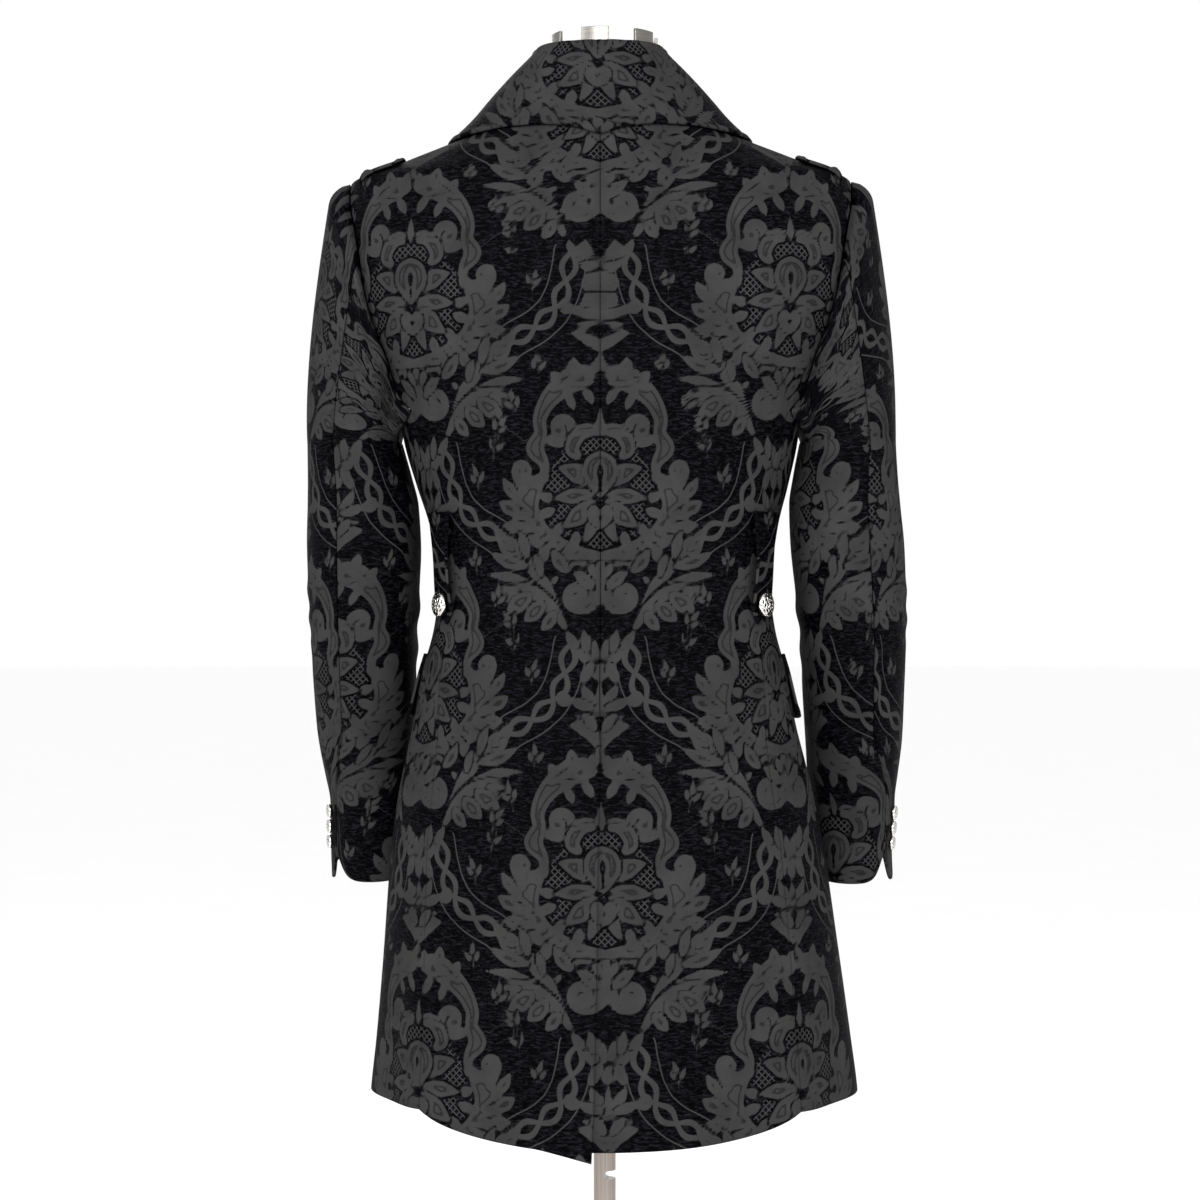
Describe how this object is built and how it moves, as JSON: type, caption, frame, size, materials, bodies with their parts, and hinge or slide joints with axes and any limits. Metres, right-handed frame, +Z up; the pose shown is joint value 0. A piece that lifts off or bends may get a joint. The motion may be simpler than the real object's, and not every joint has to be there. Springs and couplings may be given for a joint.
{
  "type": "overcoat on a dress form",
  "caption": "Three-quarter overcoat of black damask with a big collar and silver buttons, on a limbless dress form with a pole stand.",
  "frame": {"origin": "centre of the stand base's underside, on the floor", "axes": "+Z up, the coat's front faces -Y, the wearer's left is +X"},
  "size_m": [0.54, 0.38, 1.535],
  "materials": {
    "damask_cloth": "matte",
    "button_silver": "polished",
    "form_cover": "matte",
    "stand_steel": "brushed"
  },
  "bodies": {
    "root": {"collar": "damask_cloth", "back_left": "damask_cloth", "side_left": "damask_cloth", "front_left": "damask_cloth", "sleeve_upper_left": "damask_cloth", "sleeve_under_left": "damask_cloth", "lapel_left": "damask_cloth", "shoulder_tab_left": "damask_cloth", "waist_tab_left": "damask_cloth", "pocket_flap_left": "damask_cloth", "back_right": "damask_cloth", "side_right": "damask_cloth", "front_right": "damask_cloth", "sleeve_upper_right": "damask_cloth", "sleeve_under_right": "damask_cloth", "lapel_right": "damask_cloth", "shoulder_tab_right": "damask_cloth", "waist_tab_right": "damask_cloth", "pocket_flap_right": "damask_cloth", "waist_button_left": "button_silver", "waist_button_right": "button_silver", "front_button_1": "button_silver", "front_button_2": "button_silver", "front_button_3": "button_silver", "cuff_button_left_1": "button_silver", "cuff_button_left_2": "button_silver", "cuff_button_left_3": "button_silver", "cuff_button_right_1": "button_silver", "cuff_button_right_2": "button_silver", "cuff_button_right_3": "button_silver", "form_torso": "form_cover", "form_neck_ring": "stand_steel", "stand_pole": "stand_steel", "stand_base": "stand_steel"}
  },
  "joints": []
}
